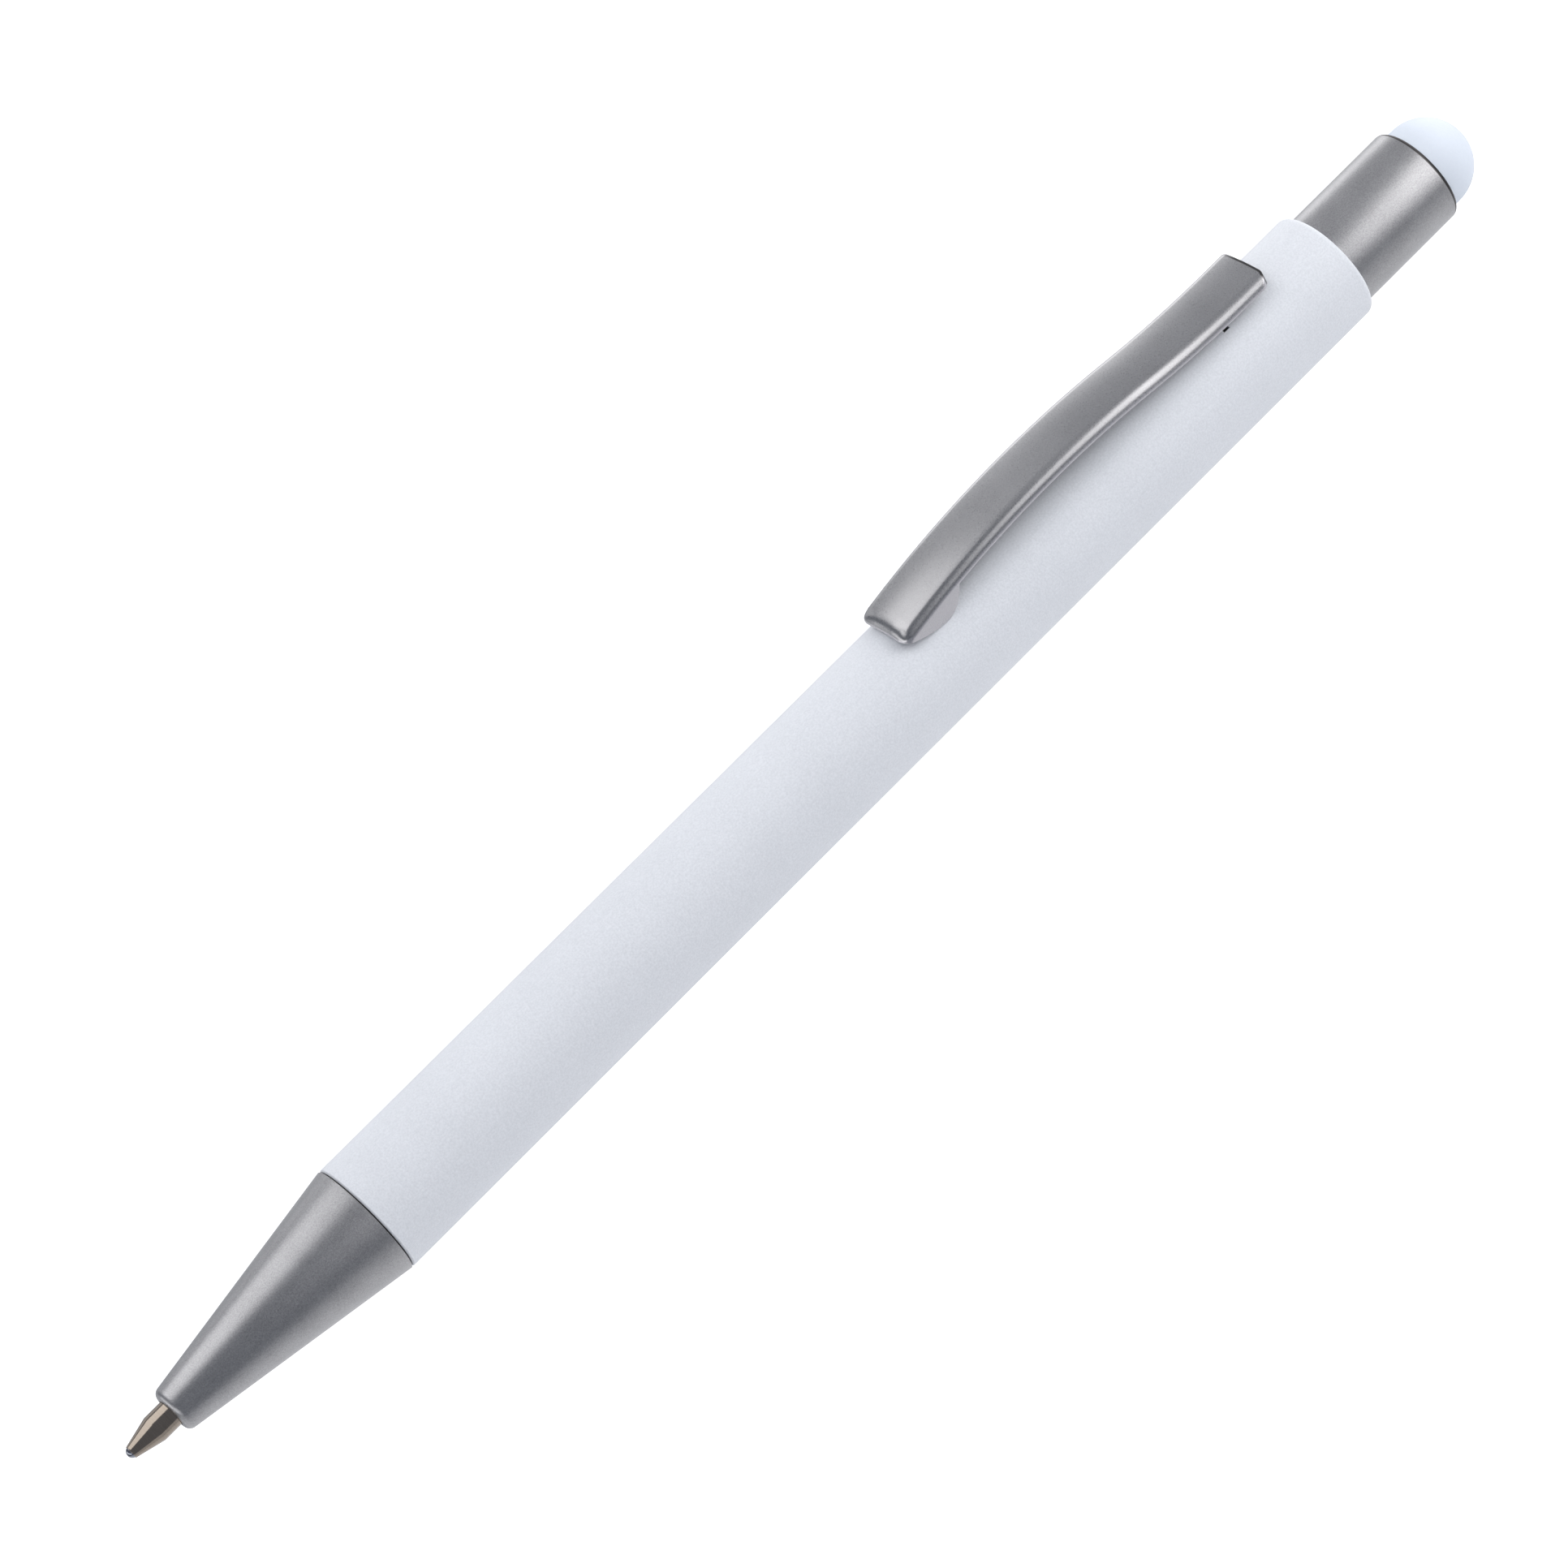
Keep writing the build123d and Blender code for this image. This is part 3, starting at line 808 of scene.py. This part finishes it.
class Graph:
    """Nodes of one material or of the world."""

    def __init__(self, tree):
        self.tree = tree
        tree.nodes.clear()

    def node(self, kind, settings=None, inputs=None):
        """Add a node: its settings first, then the values or links of its inputs. Gives its outputs."""
        made = self.tree.nodes.new(kind)
        for name, value in (settings or {}).items():
            setattr(made, name, value)
        for name, value in (inputs or {}).items():
            socket = next(s for place, s in enumerate(made.inputs) if s.enabled and name in (place, s.name))
            if isinstance(value, Socket):
                self.tree.links.new(value.output, socket)
            else:
                socket.default_value = value
        return {output.name: Socket(self, output) for output in made.outputs if output.enabled}

    def math(self, operation, first, second):
        """A sum, a product or another operation on two values."""
        return self.node("ShaderNodeMath", {"operation": operation}, {0: first, 1: second})["Value"]

    def larger(self, first, second):
        """The larger one of two values."""
        return self.math("MAXIMUM", first, second)

    def step(self, value, start, end):
        """Smooth step from 0 at a start to 1 at an end."""
        sockets = {"Value": value, "From Min": start, "From Max": end}
        return self.node("ShaderNodeMapRange", {"interpolation_type": "SMOOTHSTEP"}, sockets)["Result"]

    def place(self):
        """Object coordinates, in metres."""
        return self.node("ShaderNodeTexCoord")["Object"]

    def split_place(self):
        """Object coordinates one by one, as X, Y and Z."""
        return self.node("ShaderNodeSeparateXYZ", None, {"Vector": self.place()})

    def noise(self, size, detail=2.0, roughness=0.5, stretch=(1, 1, 1)):
        """Noise whose grains are about size metres wide, 0 to 1, stretched along the axes."""
        scale = tuple(1 / (size * s) for s in stretch)
        spot = self.node("ShaderNodeMapping", None, {"Vector": self.place(), "Scale": scale})["Vector"]
        sockets = {"Vector": spot, "Scale": 1.0, "Detail": detail, "Roughness": roughness}
        return self.node("ShaderNodeTexNoise", None, sockets)["Fac"]

    def tint(self, factor, first, second):
        """Colour between two colours, each a tuple or a socket."""
        ends = [c if isinstance(c, Socket) else (*c, 1) for c in (first, second)]
        sockets = {"Factor": factor, "A": ends[0], "B": ends[1]}
        return self.node("ShaderNodeMix", {"data_type": "RGBA"}, sockets)["Result"]

    def bump(self, height, distance):
        """Normal bent by a height of 0 to 1 that stands for a distance in metres."""
        return self.node("ShaderNodeBump", None, {"Height": height, "Distance": distance})["Normal"]


def finish(name, make, **fixed):
    """Make a material: fixed sockets of its shader, and what make(graph) gives for the others."""
    material = bpy.data.materials.new(name)
    material.use_nodes = True
    graph = Graph(material.node_tree)
    shader = graph.node("ShaderNodeBsdfPrincipled", None, {**fixed, **make(graph)})["BSDF"]
    graph.node("ShaderNodeOutputMaterial", None, {"Surface": shader})
    return material


def dress(piece, material):
    """Give a piece one material."""
    piece.data.materials.clear()
    piece.data.materials.append(material)
    print(f"{piece.name}: {material.name}, {len(material.node_tree.nodes)} nodes")


# %% [markdown]
# ## Soft-touch lacquer
#
# The barrel's lacquer is matt and a little bluish, with the fine orange peel of a sprayed coat. A
# photograph of paint could be wrapped round it, but noise has no seam and stays sharp close up. One
# fine noise drives colour, roughness and bump together, as one real ripple would.

# %% Lacquer


def lacquer(graph):
    peel = graph.noise(0.16 * mm, detail=3.0)
    cloud = graph.noise(6 * mm, detail=1.0)
    return {
        "Base Color": graph.tint(0.8 * peel + 0.2 * cloud, (0.62, 0.632, 0.662), (0.895, 0.908, 0.94)),
        "Roughness": 0.46 + 0.16 * peel,
        "Normal": graph.bump(peel, 0.016 * mm),
    }


dress(barrel, finish("lacquer_white", lacquer, **{"Specular IOR Level": 0.4}))

# %% [markdown]
# ## Satin metal
#
# The grey metal is blasted with fine beads before plating: an even satin with a tight grain. Where the nose
# cone ends at its groove, and where the button's rim turns in, the metal looks almost black, so from a place
# of X on this satin's colour is painted near black: painted shade in the nose cone's groove, and a painted
# dark reflection on the button's turned-in rim.

# %% Satin of the nose cone and the button
satin_mean = (0.358, 0.352, 0.357)
rim_turn = 0.36 * mm
turn_blur = 0.04 * mm


def satin(graph, contrast=0.21, relief=0.005 * mm):
    """Blasted metal: its grains are darker and lighter than the mean by the contrast."""
    grain = graph.noise(0.11 * mm, detail=3.0, roughness=0.6)
    cloud = graph.noise(3 * mm, detail=2.0)
    dark = tuple(channel - contrast for channel in satin_mean)
    light = tuple(channel + contrast for channel in satin_mean)
    return {
        "Base Color": graph.tint(0.8 * grain + 0.2 * cloud, dark, light),
        "Roughness": 0.31 + 0.14 * grain,
        "Normal": graph.bump(grain, relief),
    }


def satin_with_painted_dark_end(end):
    """The same satin, with its colour painted near black from a place of X on, as painted shade and painted
    dark reflection: where an edge turns in, and what lies behind it.
    """

    def make(graph):
        look = satin(graph)
        # Painted shade: the colour turns near black from this place of X on.
        painted_dark_end = graph.step(graph.split_place()["X"], end - turn_blur, end + turn_blur)
        look["Base Color"] = graph.tint(painted_dark_end, look["Base Color"], (0.05, 0.046, 0.046))
        return look

    return make


# Nose cone: painted shade in its groove. Button: painted dark reflection on its turned-in rim.
dress(nose, finish("satin_nose", satin_with_painted_dark_end(groove_start), Metallic=1.0))
dress(button, finish("satin_button", satin_with_painted_dark_end(button_high.x - rim_turn), Metallic=1.0))

# %% [markdown]
# ## Pressed satin
#
# On the clip the same satin is finer, because the press has smoothed it. The lower edges of its folds and the
# lip at its tip get a painted highlight, and along the cut through the sheet at its root the colour gets
# painted shade, weaker on the far side. Masks painted into an image could mark these places. Here they follow
# from the clip's own outline and heights, so they stay right when the clip changes its size.

# %% Satin of the clip


def pressed_satin(graph):
    """Finer satin with a painted highlight along the lower edges of the folds and on the tip's lip, and
    painted shade along the cut edge of the root.
    """
    look = satin(graph, contrast=0.13, relief=0.0018 * mm)
    spot = graph.split_place()
    from_middle = graph.larger(spot["Y"], -1 * spot["Y"])
    beyond_x = graph.larger(spot["X"] - (clip_high.x - clip_root_corner), 0.0)
    beyond_y = graph.larger(from_middle - (clip_half_width - clip_root_corner), 0.0)
    from_edge = clip_root_corner - (beyond_x**2 + beyond_y**2) ** 0.5
    at_root = graph.step(spot["X"], clip_high.x - 0.45 * mm, clip_high.x - 0.25 * mm)
    at_tip = 1 - graph.step(spot["X"], clip_low.x + 0.8 * mm, clip_low.x + 1.0 * mm)
    # Mask of the painted highlight along the lower edges of the folds.
    side = (1 - graph.step(from_edge, 0.02 * mm, 0.07 * mm)) * (1 - at_root)
    # Mask of the painted highlight on the tip's lip.
    lip = (1 - graph.step(spot["Z"], tip_foot_height + 0.10 * mm, tip_foot_height + 0.16 * mm)) * at_tip
    # On the far side the root's painted shade is faded, where that edge catches light.
    far_side = graph.step(spot["Y"], 0.3 * clip_half_width, 0.8 * clip_half_width)
    # Mask of the painted shade along the root's cut edge.
    cut = (1 - graph.step(from_edge, 0.16 * mm, 0.24 * mm)) * at_root * (1 - 0.7 * far_side)
    # The painted highlight is a light grey, and the painted shade at the root is near black.
    painted_highlight_colour = graph.tint(graph.larger(side, lip), look["Base Color"], (0.60, 0.58, 0.595))
    look["Base Color"] = graph.tint(cut, painted_highlight_colour, (0.085, 0.08, 0.08))
    look["Roughness"] = look["Roughness"] - 0.09
    return look


dress(clip, finish("satin_pressed", pressed_satin, Metallic=1.0))

# %% [markdown]
# ## Silicone, point and ball
#
# The dome is matt silicone with a faint bloom. The point is polished on a lathe, so its noise is drawn
# out round the axis into fine turning lines. The ball is hard carbide, ground to a mirror.

# %% Silicone and polished metal


def silicone(graph):
    bloom = graph.noise(0.3 * mm, detail=3.0)
    return {
        "Base Color": graph.tint(bloom, (0.715, 0.76, 0.83), (0.755, 0.80, 0.87)),
        "Roughness": 0.62 + 0.1 * bloom,
        "Normal": graph.bump(bloom, 0.004 * mm),
    }


def polished_point(graph):
    turning = graph.noise(0.05 * mm, detail=2.0, stretch=(1, 30, 30))
    return {
        "Base Color": graph.tint(turning, (0.24, 0.20, 0.165), (0.33, 0.285, 0.24)),
        "Roughness": 0.08 + 0.1 * turning,
        "Normal": graph.bump(turning, 0.0015 * mm),
    }


def polished_ball(graph):
    wear = graph.noise(0.2 * mm, detail=2.0)
    return {
        "Base Color": graph.tint(wear, (0.20, 0.21, 0.24), (0.28, 0.29, 0.32)),
        "Roughness": 0.05 + 0.06 * wear,
    }


dress(dome, finish("silicone_white", silicone, **{"Specular IOR Level": 0.3}))
dress(point, finish("nickel", polished_point, Metallic=1.0))
dress(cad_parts["writing_ball"], finish("carbide", polished_ball, Metallic=1.0))

# %% [markdown]
# ## Finishes inside
#
# The mechanism and the refill show only when the pen is taken apart, yet each piece keeps its own
# stuff: moulded plastic with a soft mottle, turned brass, drawn spring wire, ink and grease. Two
# recipes serve them all, and a table gives each piece its two colours and its roughness.

# %% Mechanism and refill


def moulded(dark, light, rough):
    """Moulded plastic between two colours, with the mottle of a cooling melt."""

    def make(graph):
        mottle = graph.noise(1.2 * mm, detail=3.0)
        return {
            "Base Color": graph.tint(mottle, dark, light),
            "Roughness": rough + 0.12 * mottle,
            "Normal": graph.bump(graph.noise(0.2 * mm), 0.003 * mm),
        }

    return make


def drawn(dark, light, rough):
    """Metal with the fine lines that turning or drawing leaves round the axis."""

    def make(graph):
        lines = graph.noise(0.06 * mm, detail=2.0, stretch=(1, 40, 40))
        return {
            "Base Color": graph.tint(lines, dark, light),
            "Roughness": rough + 0.15 * lines,
            "Normal": graph.bump(lines, 0.002 * mm),
        }

    return make


plastics = {
    "cam_sleeve": ((0.70, 0.69, 0.63), (0.80, 0.79, 0.74), 0.45),
    "thruster": ((0.42, 0.44, 0.47), (0.50, 0.52, 0.55), 0.45),
    "rotor": ((0.05, 0.12, 0.34), (0.09, 0.18, 0.44), 0.42),
    "clip_saddle": ((0.030, 0.030, 0.033), (0.055, 0.055, 0.06), 0.5),
    "stylus_plug": ((0.030, 0.030, 0.033), (0.055, 0.055, 0.06), 0.5),
    "point_holder": ((0.68, 0.67, 0.62), (0.78, 0.77, 0.73), 0.3),
    "refill_end_plug": ((0.70, 0.70, 0.66), (0.80, 0.80, 0.77), 0.4),
    "ink_column": ((0.004, 0.006, 0.035), (0.008, 0.012, 0.06), 0.2),
    "grease_plug": ((0.60, 0.56, 0.42), (0.70, 0.66, 0.52), 0.25),
}
metals = {
    "front_bush": ((0.62, 0.44, 0.17), (0.74, 0.55, 0.25), 0.25),
    "refill_tube": ((0.62, 0.57, 0.49), (0.72, 0.67, 0.59), 0.2),
}
for node, look in plastics.items():
    dress(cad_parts[node], finish(f"{node}_finish", moulded(*look)))
for node, look in metals.items():
    dress(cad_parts[node], finish(f"{node}_finish", drawn(*look), Metallic=1.0))
spring_look = drawn((0.48, 0.48, 0.49), (0.62, 0.62, 0.63), 0.22)
dress(spring, finish("spring_finish", spring_look, Metallic=1.0))

# %% [markdown]
# ## Light table
#
# The photograph's ground is plain white, and yet its metal shows light from below. A light table does
# that: it glows by itself, and lamps shine up through it. So the table is seen by the camera only, and
# casts no shadow. Its border is drawn up into a wall all round, so that a low view has no dark horizon.

# %% Light table
table_size = 6
glow = {"Roughness": 0.9, "Emission Color": (1, 1, 1, 1), "Emission Strength": 0.96}

bpy.ops.object.select_all(action="DESELECT")
bpy.ops.mesh.primitive_plane_add(size=table_size)
table = take_new("table")
select_edges(table, lambda edge: edge.is_boundary)
bpy.ops.mesh.extrude_region_move(TRANSFORM_OT_translate={"value": (0, 0, table_size / 2)})
bpy.ops.object.mode_set(mode="OBJECT")
table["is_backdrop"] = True
table.visible_glossy = False
table.visible_diffuse = False
table.visible_shadow = False


def opal(graph):
    shade = graph.noise(0.2, detail=1.0)
    return {"Base Color": graph.tint(shade, (0.30, 0.30, 0.305), (0.32, 0.32, 0.325))}


dress(table, finish("opal_glass", opal, **glow))

# %% [markdown]
# ## Lamps and room
#
# Satin metal looks like what it mirrors, so the bands on the nose cone, the clip and the button tell
# where the photograph's lights stood: a broad one overhead, a group to the right of the camera, low
# ones behind the pen, one at each end, and three under the table. Each is placed by the angles at which
# the pen sees it, because those decide where its band lies. The room is dim, and that gives the dark
# bands.

# %% Lamps and room
along = Vector((1, 0, 0))
pen_middle = Vector((0, 0, axis))
lamp_distance = 0.8


def softbox(name, tilt, lean, tilt_spread, lean_spread, radiance):
    """Area light round the pen. Degrees: tilt from straight up towards the camera, lean to the button."""
    tilt, lean = math.radians(tilt), math.radians(lean)
    towards = Vector(
        (math.sin(lean), -math.sin(tilt) * math.cos(lean), math.cos(tilt) * math.cos(lean))
    )
    sideways = (along - along.dot(towards) * towards).normalized()
    bpy.ops.object.select_all(action="DESELECT")
    bpy.ops.object.light_add(type="AREA")
    lamp = bpy.context.object
    lamp.name = name
    lamp.matrix_world = Matrix((sideways, towards.cross(sideways), towards)).transposed().to_4x4()
    lamp.location = pen_middle + lamp_distance * towards
    lamp.data.shape = "RECTANGLE"
    lamp.data.size = 2 * lamp_distance * math.tan(math.radians(lean_spread))
    lamp.data.size_y = 2 * lamp_distance * math.tan(math.radians(tilt_spread))
    lamp.data.energy = radiance * math.pi * lamp.data.size * lamp.data.size_y
    lamp.visible_camera = False
    print(f"{name}: {lamp.data.size:.2f} by {lamp.data.size_y:.2f} m, {lamp.data.energy:.1f} W")


softbox("overhead", -20, -14, 29, 19, 1.74)
softbox("overhead_soft", -42, 9, 18, 10, 0.3)
softbox("beside_camera", 58, 45, 30, 14, 2.2)
softbox("beside_camera_core", 57, 42, 20, 16, 0.95)
softbox("beside_camera_near", 57, 22, 18, 12, 1.3)
softbox("button_end", -20, 45, 45, 30, 0.3)
softbox("far_end", -25, 66, 35, 14, 1.4)
softbox("behind", -75, 5, 14, 28, 0.65)
softbox("behind_button", -82, 30, 12, 20, 1.5)
softbox("writing_end", 0, -82, 45, 9, 2.0)
softbox("under_table", 180, 0, 35, 60, 0.8)
softbox("under_table_front", 130, 0, 16, 60, 0.5)
softbox("under_table_back", -117, 0, 22, 60, 0.45)

room = bpy.data.worlds.new("room")
bpy.context.scene.world = room
room.use_nodes = True
room_graph = Graph(room.node_tree)
walls = room_graph.node("ShaderNodeBackground", None, {"Color": (0.88, 0.95, 1.1, 1), "Strength": 0.27})
room_graph.node("ShaderNodeOutputWorld", None, {"Surface": walls["Background"]})
bpy.context.scene.view_settings.view_transform = "Standard"

# %% [markdown]
# ## Camera
#
# The photograph looks down on the near side of the pen from in front of its point, turned so that
# the pen runs up to the right. A Track To constraint could aim the camera. Here its place is given
# round the pen's own axis, because its numbers were fitted to the pen's outline in the photograph.

# %% Photograph's camera
view_tilt = math.radians(48)
camera_distance = 470 * mm
camera_lead = 33 * mm
aim_from_ball = 71.27 * mm
aim_rise = 1.06 * mm
camera_roll = math.radians(44.83)
camera_lens = 144.43

to_camera = Vector((0, -math.sin(view_tilt), math.cos(view_tilt)))
across = Vector((0, math.cos(view_tilt), math.sin(view_tilt)))
axis_start = Vector((cad_box[0].x, 0, axis))
camera_place = axis_start - camera_lead * along + camera_distance * to_camera
aim = axis_start + aim_from_ball * along + aim_rise * across
sight = (aim - camera_place).normalized()
level_up = (across - across.dot(sight) * sight).normalized()
level_right = sight.cross(level_up)
right = math.cos(camera_roll) * level_right - math.sin(camera_roll) * level_up
up = math.sin(camera_roll) * level_right + math.cos(camera_roll) * level_up

bpy.ops.object.select_all(action="DESELECT")
bpy.ops.object.camera_add()
camera = bpy.context.object
camera.matrix_world = Matrix((right, up, -sight)).transposed().to_4x4()
camera.location = camera_place
camera.data.lens = camera_lens
camera.data.sensor_width = 36
camera.data.clip_start = 0.01
bpy.context.scene.camera = camera
print("camera at", tuple(round(1000 * c) for c in camera_place), "mm")

# %% [markdown]
# ## Compare and finish
#
# The dressed pen has to fill the same box as the solids, so both boxes are kept side by side.

# %% Compare the sizes and finish
visual_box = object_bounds()
for label, (low, high) in (("solids", cad_box), ("dressed", visual_box)):
    print(label, " by ".join(f"{1000 * (b - a):.2f}" for a, b in zip(low, high)), "mm")
